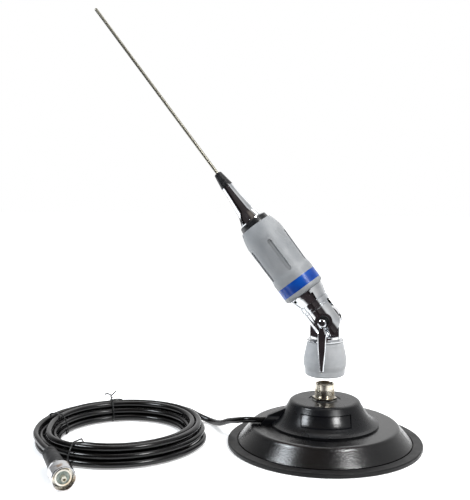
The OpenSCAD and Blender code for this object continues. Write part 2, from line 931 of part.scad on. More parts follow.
// The lever hangs straight down, flat to the pivot's axis, and its front is crowned
module clamp_lever() {
    half = lever_w / 2;
    crown_r = 1.6 * half;
    color("#c9cbce")
        at_pivot()
            difference() {
                union() {
                    cross_rod(hub_d, -lever_front + 0.5, -hub_y);
                    intersection() {
                        translate([0, -lever_y, 0])
                            rotate([90, 0, 0])
                                linear_extrude(lever_t)
                                    polygon(concat(
                                        bez(
                                            [2.2, -1], [2.4, -6], [half, -8], [half, -13], 6
                                        ),
                                        bez(
                                            [half, -17], [half, 15 - lever_len],
                                            [2, 8 - lever_len], [lever_tip, lever_tip - lever_len], 6
                                        ),
                                        arc(0, lever_tip - lever_len, lever_tip, -20, -160, 6),
                                        bez(
                                            [-lever_tip, lever_tip - lever_len], [-2, 8 - lever_len],
                                            [-half, 15 - lever_len], [-half, -17], 6
                                        ),
                                        bez(
                                            [-half, -13], [-half, -8], [-2.4, -6], [-2.2, -1], 6
                                        )
                                    ));
                        translate([0, crown_r - lever_front, -2 * lever_len])
                            cylinder(r = crown_r, h = 3 * lever_len);
                    }
                }
                cross_rod(pivot_d + 2 * fit, screw_in - lever_front - fit, 0);
            }
}

// Coil housing
module coil_housing() {
    foot_r = housing_foot_d / 2;
    waist_r = housing_waist_d / 2;
    top_r = housing_top_d / 2;
    inner_r = waist_r - housing_wall;
    edge = 2.4;
    color("#85898e")
        on_mast()
            difference() {
                turned(concat(
                    [[0, fork_h]],
                    arc(foot_r - edge, fork_h + edge, edge, -90, 0, 6),
                    [
                        [foot_r, band_z], [foot_r - band_t, band_z],
                        [foot_r - band_t, band_z + band_h], [foot_r, band_z + band_h]
                    ],
                    bez(
                        [foot_r, flare_z], [foot_r - 0.1, flare_z + 3],
                        [waist_r, waist_z - 3], [waist_r, waist_z], 6
                    ),
                    bez(
                        [housing_shoulder_d / 2, shoulder_up],
                        [housing_shoulder_d / 2 - 0.4, shoulder_up + 4.8],
                        [top_r + 1.2, housing_top - 4], [top_r, housing_top - 0.8], 8
                    ),
                    arc(top_r - 0.8, housing_top - 0.8, 0.8, 30, 90, 3),
                    [[0, housing_top]]
                ));
                rod(2 * inner_r, fork_h + 2.4, housing_top - 9);
                rod(former_d - 4 + 2 * fit, fork_h - over, fork_h + 4);
                rod(stud_d + 2 * fit, housing_top - 12, housing_top + over);
                for (i = [0 : groove_count - 1])
                    rotate([0, 0, groove_turn + i * 360 / groove_count])
                        groove();
            }
}

// One long groove with round ends, cut from outside to an even depth
module groove() {
    reach = housing_foot_d;
    floor_r = housing_waist_d / 2 - groove_depth + 0.1;
    straight = groove_len - groove_w;
    translate([floor_r, 0, groove_z]) {
        translate([0, -groove_w / 2, -straight / 2])
            cube([reach, groove_w, straight]);
        for (side = [-1, 1])
            translate([0, 0, side * straight / 2])
                rotate([0, 90, 0])
                    cylinder(d = groove_w, h = reach);
    }
}

module label_band() {
    color("#1f4fa3")
        on_mast()
            tube(2 * band_r, 2 * (band_r - band_t), band_z, band_z + band_h);
}

module coil_former() {
    color("#e8e6df")
        on_mast()
            difference() {
                rod(former_d, fork_h + 4.5, housing_top - 9.5);
                rod(former_d - 4 + 2 * fit, fork_h, fork_h + spigot_in + 0.5);
                rod(stud_d + 2 * fit, housing_top - stud_in - 0.5, housing_top);
                rod(former_d - 8, fork_h, housing_top);
            }
}

// A close winding: the turns touch, so together they are one ribbed sleeve
module loading_coil() {
    r = former_d / 2 + wire_d / 2 + fit;
    color("#b5693a")
        on_mast()
            rotate_extrude(convexity = 10)
                union() {
                    for (i = [0 : coil_turns - 1])
                        translate([r, winding_z + wire_d / 2 + i * turn_pitch])
                            circle(d = wire_d, $fn = 20);
                    translate([r - wire_d / 4, winding_z + wire_d / 2])
                        square([wire_d / 2, winding_h - wire_d]);
                }
}

// Whip and its holder
module top_ring() {
    foot_r = top_ring_d / 2;
    color("#1a1b1d")
        on_mast()
            difference() {
                turned([
                    [0, housing_top], [foot_r, housing_top], [foot_r, housing_top + 0.8],
                    [foot_r - 0.5, holder_z - 0.5], [foot_r - 1, holder_z], [0, holder_z]
                ]);
                rod(stud_d + 2 * fit, housing_top - over, holder_z + over);
            }
}

module whip_holder() {
    neck_r = cap_d / 2 - 0.3;
    color("#d6d8da")
        on_mast()
            difference() {
                union() {
                    rod(stud_d, housing_top - stud_in, holder_z);
                    turned(concat(
                        [[0, holder_z], [bell_d / 2, holder_z], [bell_d / 2, holder_z + 0.8]],
                        bez(
                            [bell_d / 2 - 0.2, holder_z + 1.1], [bell_d / 2 - 1.5, holder_z + 5],
                            [neck_r + 3, holder_z + 7], [neck_r + 2.4, holder_z + 10], 7
                        ),
                        bez(
                            [neck_r + 2.2, holder_z + 11.5], [neck_r + 1.4, holder_z + 18],
                            [neck_r + 0.1, cap_z - 8], [neck_r, cap_z], 7
                        ),
                        [[0, cap_z]]
                    ));
                    rod(cap_spigot_d, cap_z - over, cap_z + cap_spigot_h);
                }
                rod(whip_d + 2 * fit, whip_bore_z, cap_top);
                grub_places()
                    rod(grub_d + 2 * fit, 0, bell_d);
            }
}

module grub_places() {
    for (z = grub_z)
        translate([0, 0, z])
            rotate([-90, 0, 0])
                children();
}

module grub_screws() {
    color("#55575a")
        on_mast()
            grub_places()
                difference() {
                    rod(grub_d, whip_d / 2 + fit, cap_d / 2);
                    translate([0, 0, cap_d / 2 - 1])
                        hexagon(grub_d / 2, 2);
                }
}

module whip_cap() {
    color("#131314")
        on_mast()
            difference() {
                turned([
                    [0, cap_z], [cap_d / 2, cap_z], [cap_d / 2, cap_z + 1], [cap_tip, cap_top - 0.6],
                    [cap_tip - 0.5, cap_top], [0, cap_top]
                ]);
                rod(cap_spigot_d + 2 * fit, cap_z - over, cap_z + cap_spigot_h + fit);
                rod(whip_d + 2 * fit, cap_z, cap_top + over);
            }
}

module whip() {
    tip = whip_d / 2;
    color("#a9abad")
        on_mast()
            turned(concat(
                [[0, whip_foot], [tip, whip_foot]],
                arc(0, whip_top - tip, tip, 0, 90, 5)
            ));
}

magnet_boot();
magnet_cup();
ring_magnet();
pole_piece();
dome_screws();
base_dome();
cable_outlet();
socket_shell();
socket_insulator();
socket_contact();
socket_washer();
socket_nut();
lead();
lead_coil();
lead_tail();
coil_ties();
plug_sleeve();
plug_body();
plug_insulator();
plug_pin();
plug_ring();
coupling_ring();
stem();
stem_insulator();
stem_pin();
swivel_base();
knuckle_fork();
pivot_screw();
lever_washer();
spacer_washer();
clamp_lever();
nut_washer();
pivot_nut();
coil_housing();
label_band();
coil_former();
loading_coil();
top_ring();
whip_holder();
grub_screws();
whip_cap();
whip();
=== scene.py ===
"""Dresses the mobile antenna, its magnetic base and its coiled lead for a plain studio picture."""
import math

import bmesh
import bpy
from mathutils import Matrix, Vector


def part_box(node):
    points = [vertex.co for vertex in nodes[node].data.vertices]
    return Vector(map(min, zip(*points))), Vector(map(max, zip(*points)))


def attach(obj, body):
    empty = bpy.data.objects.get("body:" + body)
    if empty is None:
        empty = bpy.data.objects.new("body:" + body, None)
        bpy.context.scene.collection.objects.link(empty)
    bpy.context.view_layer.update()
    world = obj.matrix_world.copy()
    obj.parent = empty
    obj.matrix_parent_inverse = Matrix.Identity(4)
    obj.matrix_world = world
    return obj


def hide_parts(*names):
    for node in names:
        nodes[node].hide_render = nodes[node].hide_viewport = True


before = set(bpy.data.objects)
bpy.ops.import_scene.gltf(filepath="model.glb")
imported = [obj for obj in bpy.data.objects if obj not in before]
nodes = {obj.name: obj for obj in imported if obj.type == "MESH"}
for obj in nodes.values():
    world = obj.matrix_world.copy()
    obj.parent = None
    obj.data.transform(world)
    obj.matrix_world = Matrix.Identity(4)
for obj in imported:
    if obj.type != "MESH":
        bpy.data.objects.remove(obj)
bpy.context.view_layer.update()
scene = bpy.context.scene

MM = 0.001
PIVOT = Vector((0, 0, 101.8)) * MM
TILT = math.radians(37.5)
FILL = 0.05  # level of the room's plain light
PAPER_GLOW = 0.35  # what the paper gives the eye beyond the light that falls on it

# The lead, in millimetres: its free ends as they lie, and the places of the strands in the bundle
LEAD_D = 5.0
OUTLET_AXIS = ((-42.7, -10.65, 19.3), (-51.4, -12.8, 19.3))
LEAD_ROUTE = (
    (-55.3, -13.8, 19.3), (-63, -13, 18.6), (-71.5, -7.5, 15.8), (-81, 2.5, 11.5), (-91, 13.5, 5.6),
    (-101, 24.5, 2.8), (-110, 28.5, 4), (-119, 31, 6.5), (-124.5, 33, 8), (-133.5, 36.5, 8.5),
    (-147.5, 38.5, 8.5), (-161.5, 36.5, 8.5),
)
TAIL_ROUTE = ((-203.5, -91, 11.5),)
COIL_MIDDLE = (-162.5, -32.5)
PLUG_RIM = Vector((-160, -144, 8.8 * math.cos(math.radians(2.5)) + 0.05))
PLUG_YAW = math.radians(-52)
PLUG_PITCH = math.radians(2.5)
PLUG_WAY = Vector((
    math.cos(PLUG_YAW) * math.cos(PLUG_PITCH), math.sin(PLUG_YAW) * math.cos(PLUG_PITCH), -math.sin(PLUG_PITCH)
))
PLUG_LENGTH = 50.4
TIE_ANGLES = (121, 179, 258)


# Camera

def place_camera():
    """The photograph's viewpoint: a little above the socket, some 0.65 m in front of it."""
    data = bpy.data.cameras.new("front_camera")
    data.lens = 56.9
    data.sensor_width = 36
    camera = bpy.data.objects.new("front_camera", data)
    camera.location = (0.0813, -0.6262, 0.2137)
    camera.rotation_euler = (math.radians(84.9), 0, math.radians(14))
    scene.collection.objects.link(camera)
    scene.camera = camera


# The coaxial lead

def eased(t):
    """Goes from 0 to 1 with a soft start and a soft stop."""
    t = min(max(t, 0), 1)
    return t * t * (3 - 2 * t)


def strand_point(angle, radius, height):
    """A point of a turn, where the bundle is a little uneven round its length."""
    a = math.radians(angle)
    radius += 0.45 * math.sin(2 * a + 0.6) + 0.25 * math.sin(3 * a)
    return Vector((COIL_MIDDLE[0] + radius * math.cos(a), COIL_MIDDLE[1] + radius * math.sin(a), height))


def coil_points():
    """The turns of the bundle: each strand moves to the next place once a round, one after another."""
    places = (
        (64.9, 8.6), (67.4, 3.4), (62.1, 3.4), (56.8, 3.4), (51.5, 3.4), (54.2, 8.6), (59.5, 8.6),
        (57.0, 13.9), (62.3, 13.9),
    )
    moves = (36, 10, -17, -44, -71, -98, -125, -152)
    points = []
    step = 6
    for turn, (radius, height) in enumerate(places[:-1]):
        next_radius, next_height = places[turn + 1]
        begin = 108 if turn == 0 else 78
        for angle in range(begin, 78 + 360, step):
            share = eased((angle - (moves[turn] + 360 - 10)) / 42)
            points.append(strand_point(
                angle, radius + (next_radius - radius) * share, height + (next_height - height) * share
            ))
    radius, height = places[-1]
    for angle in range(78, 150, step):
        points.append(strand_point(angle, radius, height))
    for angle, radius, height in ((162, 63.0, 13.9), (176, 64.3, 13.8), (190, 66.1, 13.5), (204, 67.8, 12.9), (218, 69.3, 12.2)):
        points.append(strand_point(angle, radius, height))
    return points


def through(points, steps):
    """A smooth curve through the points, with so many steps to each stretch."""
    dense = []
    for i in range(len(points) - 1):
        a, b, c, d = points[max(i - 1, 0)], points[i], points[i + 1], points[min(i + 2, len(points) - 1)]
        for k in range(steps):
            t = k / steps
            dense.append(0.5 * (
                2 * b + (c - a) * t + (2 * a - 5 * b + 4 * c - d) * t * t + (3 * b - a - 3 * c + d) * t ** 3
            ))
    return dense + [points[-1]]


def deselect_all():
    for obj in bpy.context.selected_objects:
        obj.select_set(False)


def tube_along(name, runs, diameter, sides):
    """A round tube swept along each run of points, as one mesh with closed ends."""
    curve = bpy.data.curves.new(name, "CURVE")
    curve.dimensions = "3D"
    curve.bevel_depth = diameter / 2 * MM
    curve.bevel_resolution = sides // 4 - 1
    curve.use_fill_caps = True
    for run in runs:
        spline = curve.splines.new("POLY")
        spline.points.add(len(run) - 1)
        for point, place in zip(spline.points, run):
            point.co = (*place, 1)
        spline.use_smooth = True
    tube = bpy.data.objects.new(name, curve)
    scene.collection.objects.link(tube)
    deselect_all()
    tube.select_set(True)
    bpy.context.view_layer.objects.active = tube
    bpy.ops.object.convert(target="MESH")
    bpy.ops.object.mode_set(mode="EDIT")
    bpy.ops.mesh.select_all(action="SELECT")
    bpy.ops.mesh.remove_doubles(threshold=0.000001)
    bpy.ops.mesh.normals_make_consistent(inside=False)
    bpy.ops.object.mode_set(mode="OBJECT")
    bpy.ops.object.shade_smooth_by_angle(angle=math.radians(50))
    return bpy.context.object


def lay_lead():
    """One lead from the outlet, round the bundle and into the plug's sleeve."""
    sleeve_end = PLUG_RIM - PLUG_WAY * PLUG_LENGTH
    route = [Vector(p) for p in OUTLET_AXIS + LEAD_ROUTE]
    route += coil_points()
    route += [Vector(p) for p in TAIL_ROUTE]
    route += [sleeve_end - PLUG_WAY * 7, sleeve_end]
    path = [p * MM for p in through(route, 3)]
    length = sum((b - a).length for a, b in zip(path, path[1:]))
    return tube_along("coax_lead", [path], LEAD_D, 20), path, length


def tie_loop(angle, ends):
    """A thin wire tie, drawn round the bundle and twisted together on top."""
    a = math.radians(angle)
    out = Vector((math.cos(a), math.sin(a), 0))
    along = Vector((-math.sin(a), math.cos(a), 0))
    middle = Vector((COIL_MIDDLE[0], COIL_MIDDLE[1], 0))
    loop = (
        (54.0, 17.0), (59.5, 17.3), (64.0, 17.1), (68.6, 13.2), (71.5, 8.0), (71.3, 3.2), (68.5, 0.55), (60, 0.5), (52, 0.5),
        (48.9, 2.0), (48.7, 5.0), (50.6, 11.6), (54.0, 17.0),
    )
    runs = [[middle + out * r + Vector((0, 0, z)) + along * (0.25 * math.sin(z)) for r, z in loop]]
    if ends:
        twist = []
        for k in range(15):
            turn = k / 14 * 2 * math.pi * 2.2
            foot = middle + out * (56 + 0.30 * k) + Vector((0, 0, 17.4 + 0.26 * k))
            twist.append(foot + along * 0.55 * math.cos(turn) + Vector((0, 0, 0.55)) * math.sin(turn))
        runs.append(twist + [twist[-1] + along * 3.2 + Vector((0, 0, 1.6)), twist[-1] + along * 6 + Vector((0, 0, 1.1))])
        runs.append([twist[-2], twist[-1] - along * 2.6 + Vector((0, 0, 1.8)), twist[-1] - along * 4.2 + Vector((0, 0, 3.4))])
        runs.append([middle + out * 57.5 + Vector((0, 0, 17.6)), middle + out * 58 - along * 4 + Vector((0, 0, 18.2)),
                     middle + out * 57 - along * 9 + Vector((0, 0, 17.9))])
    smooth = [[place * MM for place in through([Vector(p) for p in run], 4)] for run in runs]
    return tube_along(f"wire_tie_{angle}", smooth, 1.15, 12)


def bend(a, b, c, d, steps):
    """Points of one smooth bend from a to d, without its end."""
    points = []
    for k in range(steps):
        t = k / steps
        points.append(tuple(
            (1 - t) ** 3 * a[i] + 3 * t * (1 - t) ** 2 * b[i] + 3 * t * t * (1 - t) * c[i] + t ** 3 * d[i] for i in (0, 1)
        ))
    return points


def round_edged_plate(name, outlines, thickness, rounding, front):
    """A plate in the XZ plane with rounded edges; its front face lies at the given Y, all in millimetres."""
    curve = bpy.data.curves.new(name, "CURVE")
    curve.dimensions = "2D"
    curve.fill_mode = "BOTH"
    curve.extrude = (thickness / 2 - rounding) * MM
    curve.bevel_depth = rounding * MM
    curve.bevel_resolution = 4
    curve.offset = -rounding * MM
    for outline in outlines:
        spline = curve.splines.new("POLY")
        spline.points.add(len(outline) - 1)
        for point, (x, z) in zip(spline.points, outline):
            point.co = (x * MM, z * MM, 0, 1)
        spline.use_cyclic_u = True
    plate = bpy.data.objects.new(name, curve)
    scene.collection.objects.link(plate)
    deselect_all()
    plate.select_set(True)
    bpy.context.view_layer.objects.active = plate
    bpy.ops.object.convert(target="MESH")
    plate = bpy.context.object
    upright = Matrix.Rotation(math.radians(90), 4, "X")
    plate.data.transform(Matrix.Translation((0, front + thickness / 2 * MM, PIVOT.z)) @ upright)
    bpy.ops.object.mode_set(mode="EDIT")
    bpy.ops.mesh.select_all(action="SELECT")
    bpy.ops.mesh.remove_doubles(threshold=0.000001)
    bpy.ops.mesh.normals_make_consistent(inside=False)
    bpy.ops.object.mode_set(mode="OBJECT")
    return plate


def hub_dome(front):
    """The domed end of the lever's hub, flat behind and clear of the screw's end."""
    deselect_all()
    bpy.ops.mesh.primitive_uv_sphere_add(segments=48, ring_count=24, radius=1)
    dome = bpy.context.object
    dome.data.transform(Matrix.Diagonal((3.3 * MM, 1.35 * MM, 3.3 * MM, 1)))
    bpy.ops.object.mode_set(mode="EDIT")
    bpy.ops.mesh.select_all(action="SELECT")
    bpy.ops.mesh.bisect(plane_co=(0, 0, 0), plane_no=(0, 1, 0), use_fill=True, clear_outer=True)
    bpy.ops.mesh.select_all(action="SELECT")
    bpy.ops.mesh.normals_make_consistent(inside=False)
    bpy.ops.object.mode_set(mode="OBJECT")
    dome.data.transform(Matrix.Translation((0, front + 0.95 * MM, PIVOT.z)))
    return dome


def rounded_lever():
    """The clamp lever as it is cast: a lens-shaped plate with round bright edges, and its hub."""
    low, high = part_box("clamp_lever")
    half, tip, reach = 3.3, 1.8, 37.2
    side = bend((1.8, -2.75), (2.2, -5.5), (half, -8), (half, -13), 10)
    side += bend((half, -13), (half, -24), (2, -31), (tip, -reach), 16)
    end = [(tip * math.cos(math.radians(a)), -reach + tip * math.sin(math.radians(a))) for a in range(0, -181, -15)]
    outline = side + end + [(-x, z) for x, z in reversed(side)]
    plate = round_edged_plate("round_edged_lever", [outline], 3.4, 1.1, low[1])
    ring = [[(r * math.cos(math.radians(a)), r * math.sin(math.radians(a))) for a in range(0, 360, 6)] for r in (3.4, 2.55)]
    hub = round_edged_plate("lever_hub", ring, (high[1] - low[1]) / MM - 0.5, 0.4, low[1] + 0.5 * MM)
    dome = hub_dome(low[1])
    for part in (hub, dome):
        deselect_all()
        plate.select_set(True)
        bpy.context.view_layer.objects.active = plate
        joint = plate.modifiers.new("join", "BOOLEAN")
        joint.operation = "UNION"
        joint.solver = "EXACT"
        joint.object = part
        bpy.ops.object.modifier_apply(modifier=joint.name)
        bpy.data.objects.remove(part, do_unlink=True)
    bpy.ops.object.shade_smooth_by_angle(angle=math.radians(35))
    return plate


place_camera()
lever = rounded_lever()
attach(lever, "lever")
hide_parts("clamp_lever")
lead, lead_path, lead_length = lay_lead()
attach(lead, "base")
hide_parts("lead", "lead_coil", "lead_tail")
ties = [tie_loop(angle, angle == 121) for angle in TIE_ANGLES]
for tie in ties:
    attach(tie, "base")
for tie in ties:
    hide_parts("coil_ties")


# Materials

def srgb(code):
    """The linear colour of an sRGB hex value."""
    values = [int(code[i:i + 2], 16) / 255 for i in (1, 3, 5)]
    return (*[v / 12.92 if v <= 0.04045 else ((v + 0.055) / 1.055) ** 2.4 for v in values], 1)


def node(tree, kind, inputs=None, **settings):
    """Adds one shader node with its settings, its values and its links."""
    made = tree.nodes.new("ShaderNode" + kind)
    for name, value in settings.items():
        setattr(made, name, value)
    for socket, value in (inputs or {}).items():
        if isinstance(value, bpy.types.NodeSocket):
            tree.links.new(value, made.inputs[socket])
        else:
            made.inputs[socket].default_value = value
    return made


def blank(name, **finish):
    """A material with its shader's own values set, and its tree to build on."""
    material = bpy.data.materials.new(name)
    material.use_nodes = True
    tree = material.node_tree
    shader = tree.nodes["Principled BSDF"]
    for socket, value in finish.items():
        shader.inputs[socket.replace("_", " ")].default_value = value
    return material, tree, shader


def on_mast(tree):
    """Object coordinates turned upright along the leaning antenna, with the pivot as zero."""
    place = node(tree, "TexCoord").outputs["Object"]
    return node(tree, "Mapping", {"Vector": place, "Location": PIVOT, "Rotation": (0, -TILT, 0)}, vector_type="TEXTURE").outputs[0]


def mottle(tree, shader, place, dark, light, size, spread=(0.35, 0.65)):
    """Colour that drifts between two shades, in patches of the given size in metres."""
    patches = node(tree, "TexNoise", {"Vector": place, "Scale": 1 / size, "Detail": 4.0, "Roughness": 0.55})
    ramp = node(tree, "ValToRGB", {"Fac": patches.outputs[0]})
    ramp.color_ramp.elements[0].position = spread[0]
    ramp.color_ramp.elements[0].color = srgb(dark)
    ramp.color_ramp.elements[1].position = spread[1]
    ramp.color_ramp.elements[1].color = srgb(light)
    tree.links.new(ramp.outputs[0], shader.inputs["Base Color"])
    return ramp


def uneven_gloss(tree, shader, place, low, high, size):
    """Roughness that drifts between two values, as handling leaves it."""
    patches = node(tree, "TexNoise", {"Vector": place, "Scale": 1 / size, "Detail": 3.0})
    span = node(tree, "MapRange", {"Value": patches.outputs[0], "From Min": 0.3, "From Max": 0.7, "To Min": low, "To Max": high})
    tree.links.new(span.outputs[0], shader.inputs["Roughness"])


def grain(tree, place, size, height, normal=None, detail=2.0):
    """A fine surface grain as a bump, with its size and height in metres."""
    noise = node(tree, "TexNoise", {"Vector": place, "Scale": 1 / size, "Detail": detail})
    inputs = {"Height": noise.outputs[0], "Strength": 1.0, "Distance": height}
    if normal is not None:
        inputs["Normal"] = normal
    return node(tree, "Bump", inputs).outputs[0]


def turned_lines(tree, place, pitch, height, normal=None):
    """Fine rings round the local Z axis, as a lathe or a mould leaves them."""
    wave = node(tree, "TexWave", {"Vector": place, "Scale": 0.314 / pitch, "Distortion": 0.4, "Detail": 1.0},
                wave_type="BANDS", bands_direction="Z")
    inputs = {"Height": wave.outputs["Fac"], "Strength": 1.0, "Distance": height}
    if normal is not None:
        inputs["Normal"] = normal
    return node(tree, "Bump", inputs).outputs[0]


def moulded_nitrile_rubber():
    # Boot of the magnet: dull black rubber with a fine matt grain and dusty patches
    material, tree, shader = blank("moulded_nitrile_rubber", Roughness=0.62, IOR=1.33)
    place = node(tree, "TexCoord").outputs["Object"]
    mottle(tree, shader, place, "#070708", "#0f0f10", 0.018)
    uneven_gloss(tree, shader, place, 0.36, 0.5, 0.01)
    tree.links.new(grain(tree, place, 0.0009, 0.00006), shader.inputs["Normal"])
    return material


def powder_coated_steel():
    # Cup of the magnet: black polyester powder coat whose pebbled skin breaks up its highlights
    material, tree, shader = blank("powder_coated_steel", Roughness=0.36, IOR=1.58)
    place = node(tree, "TexCoord").outputs["Object"]
    mottle(tree, shader, place, "#050506", "#0a0a0b", 0.012)
    uneven_gloss(tree, shader, place, 0.17, 0.23, 0.004)
    normal = grain(tree, place, 0.0011, 0.00013, detail=3.0)
    tree.links.new(normal, shader.inputs["Normal"])
    return material


def polished_panel(tree, shader, place):
    """The sunken label panel is smoother than the skin round it, and its edge has its sheen turned almost off: a
    painted dark outline for the shade at the recess edge.
    """
    turned = node(tree, "Mapping", {"Vector": place, "Rotation": (0, 0, math.radians(-80))}, vector_type="TEXTURE").outputs[0]
    outward, sideways, height = node(tree, "SeparateXYZ", {"Vector": turned}).outputs
    front = node(tree, "Math", {0: outward, 1: 0.0}, operation="GREATER_THAN").outputs[0]
    fields = []
    for margin in (0.00045, -0.0003):
        wide = node(tree, "Math", {0: sideways, 1: 0.0, 2: 0.01925 + margin}, operation="COMPARE").outputs[0]
        high = node(tree, "Math", {0: height, 1: 0.02685, 2: 0.00405 + margin}, operation="COMPARE").outputs[0]
        both = node(tree, "Math", {0: wide, 1: high}, operation="MULTIPLY").outputs[0]
        fields.append(node(tree, "Math", {0: both, 1: front}, operation="MULTIPLY").outputs[0])
    # A thin band round the panel's edge gets almost no sheen: painted shade along the recess edge
    painted_shade_rim = node(tree, "Math", {0: fields[0], 1: fields[1]}, operation="SUBTRACT").outputs[0]
    shine = node(tree, "MapRange", {"Value": painted_shade_rim, "To Min": 0.5, "To Max": 0.05}).outputs[0]
    tree.links.new(shine, shader.inputs["Specular IOR Level"])
    rough = shader.inputs["Roughness"].links[0].from_socket
    smooth = node(tree, "Mix", {0: fields[1], 2: rough, 3: 0.21}).outputs[0]
    tree.links.new(smooth, shader.inputs["Roughness"])


def moulded_black_abs(name="moulded_black_abs", low=0.24, high=0.32):
    # Dome and outlet: injection-moulded ABS, semi-gloss with a faint orange peel
    material, tree, shader = blank(name, Roughness=0.28, IOR=1.4)
    place = node(tree, "TexCoord").outputs["Object"]
    mottle(tree, shader, place, "#060709", "#0b0c0f", 0.02)
    uneven_gloss(tree, shader, place, low, high, 0.012)
    if name == "moulded_black_abs":
        polished_panel(tree, shader, place)
    normal = grain(tree, place, 0.004, 0.00006, detail=1.0)
    tree.links.new(grain(tree, place, 0.0007, 0.00002, normal), shader.inputs["Normal"])
    return material


def nickel_plated_brass():
    # Socket, stem and plug: satin nickel over brass, warmer where it has dulled
    material, tree, shader = blank("nickel_plated_brass", Metallic=1.0, Roughness=0.2)
    place = node(tree, "TexCoord").outputs["Object"]
    mottle(tree, shader, place, "#b3a084", "#dad6cb", 0.008, (0.3, 0.5))
    uneven_gloss(tree, shader, place, 0.14, 0.28, 0.004)
    tree.links.new(turned_lines(tree, place, 0.0008, 0.00001), shader.inputs["Normal"])
    return material


def bright_nickel():
    # Plug and its ring: bright nickel plate, a shade browner where fingers have dulled it
    material, tree, shader = blank("bright_nickel", Metallic=1.0, Roughness=0.16)
    place = node(tree, "TexCoord").outputs["Object"]
    mottle(tree, shader, place, "#a38f80", "#cfd0d2", 0.009, (0.36, 0.5))
    uneven_gloss(tree, shader, place, 0.1, 0.2, 0.005)
    return material


def tinned_brass():
    # Pin of the plug: pale tin over brass, a little dull
    material, tree, shader = blank("tinned_brass", Metallic=0.6, Roughness=0.4)
    place = node(tree, "TexCoord").outputs["Object"]
    mottle(tree, shader, place, "#cfc8b4", "#f0ecdf", 0.003)
    uneven_gloss(tree, shader, place, 0.34, 0.46, 0.002)
    return material


def moulded_phenolic():
    # Insulator of the plug: greenish grey phenolic, dull and a little mottled
    material, tree, shader = blank("moulded_phenolic", Roughness=0.45, IOR=1.6)
    place = node(tree, "TexCoord").outputs["Object"]
    mottle(tree, shader, place, "#6f7c74", "#a3aca4", 0.0025)
    tree.links.new(grain(tree, place, 0.0012, 0.0001), shader.inputs["Normal"])
    return material


def threaded_nickel():
    # Shell of the socket: nickel with its fine thread, 24 turns to the inch
    material, tree, shader = blank("threaded_nickel", Metallic=1.0, Roughness=0.22)
    place = node(tree, "TexCoord").outputs["Object"]
    mottle(tree, shader, place, "#a8967a", "#d8d2c4", 0.006, (0.3, 0.55))
    wave = node(tree, "TexWave", {"Vector": place, "Scale": 0.314 / 0.00106}, wave_type="BANDS", bands_direction="Z")
    height = node(tree, "SeparateXYZ", {"Vector": place}).outputs["Z"]
    thread = node(tree, "Math", {0: 0.0448, 1: height}, operation="GREATER_THAN").outputs[0]
    cut = node(tree, "Math", {0: wave.outputs["Fac"], 1: thread}, operation="MULTIPLY").outputs[0]
    bump = node(tree, "Bump", {"Height": cut, "Strength": 1.0, "Distance": 0.00012})
    tree.links.new(bump.outputs[0], shader.inputs["Normal"])
    return material


def bright_chrome():
    # Knuckle and whip holder: polished chrome plate with the lightest finger haze
    material, tree, shader = blank("bright_chrome", Metallic=1.0, Roughness=0.06)
    shader.inputs["Base Color"].default_value = srgb("#e4e6e9")
    place = on_mast(tree)
    mottle(tree, shader, place, "#d5d8dc", "#eceef0", 0.01)
    uneven_gloss(tree, shader, place, 0.04, 0.1, 0.006)
    tree.links.new(grain(tree, place, 0.01, 0.00001, detail=1.0), shader.inputs["Normal"])
    return material


def polished_die_casting():
    # Clamp lever: polished zinc casting, its flat darker than its rounded edges
    material, tree, shader = blank("polished_die_casting", Metallic=1.0, Roughness=0.14)
    place = node(tree, "TexCoord").outputs["Object"]
    mottle(tree, shader, place, "#c4c7cb", "#e2e4e6", 0.005)
    uneven_gloss(tree, shader, place, 0.06, 0.12, 0.004)
    tree.links.new(grain(tree, place, 0.008, 0.00002, detail=1.0), shader.inputs["Normal"])
    return material


def grey_lacquer():
    # Coupling ring: satin grey lacquer over turned alloy, with faint rings
    material, tree, shader = blank("grey_lacquer", Roughness=0.4, IOR=1.5)
    place = node(tree, "TexCoord").outputs["Object"]
    mottle(tree, shader, place, "#9ea0a3", "#aaacae", 0.008)
    uneven_gloss(tree, shader, place, 0.34, 0.48, 0.006)
    normal = turned_lines(tree, place, 0.0011, 0.00004)
    tree.links.new(grain(tree, place, 0.0006, 0.00002, normal), shader.inputs["Normal"])
    return material


def grey_nylon():
    # Coil housing: glass-filled grey nylon, satin with faint rings along its length
    material, tree, shader = blank("grey_nylon", Roughness=0.44, IOR=1.53)
    place = on_mast(tree)
    mottle(tree, shader, place, "#7c7f82", "#898b8d", 0.015)
    uneven_gloss(tree, shader, place, 0.38, 0.52, 0.01)
    normal = turned_lines(tree, place, 0.0012, 0.00003)
    tree.links.new(grain(tree, place, 0.0006, 0.00002, normal), shader.inputs["Normal"])
    return material


def blue_vinyl():
    # Band round the housing: printed blue vinyl, glossy and a little uneven
    material, tree, shader = blank("blue_vinyl", Roughness=0.2, IOR=1.5)
    place = on_mast(tree)
    mottle(tree, shader, place, "#03307c", "#0a479c", 0.012)
    uneven_gloss(tree, shader, place, 0.14, 0.26, 0.008)
    tree.links.new(grain(tree, place, 0.003, 0.00004), shader.inputs["Normal"])
    return material


def black_acetal():
    # Ring on the housing: turned black acetal
    material, tree, shader = blank("black_acetal", Roughness=0.3, IOR=1.48)
    place = on_mast(tree)
    mottle(tree, shader, place, "#121314", "#1c1d1f", 0.01)
    uneven_gloss(tree, shader, place, 0.24, 0.4, 0.005)
    tree.links.new(turned_lines(tree, place, 0.0007, 0.00002), shader.inputs["Normal"])
    return material


def cap_rubber():
    # Cap over the whip's clamp: smooth black rubber
    material, tree, shader = blank("cap_rubber", Roughness=0.34, IOR=1.5)
    place = on_mast(tree)
    mottle(tree, shader, place, "#0d0d0e", "#18181a", 0.006)
    uneven_gloss(tree, shader, place, 0.28, 0.45, 0.004)
    tree.links.new(grain(tree, place, 0.0008, 0.00003), shader.inputs["Normal"])
    return material


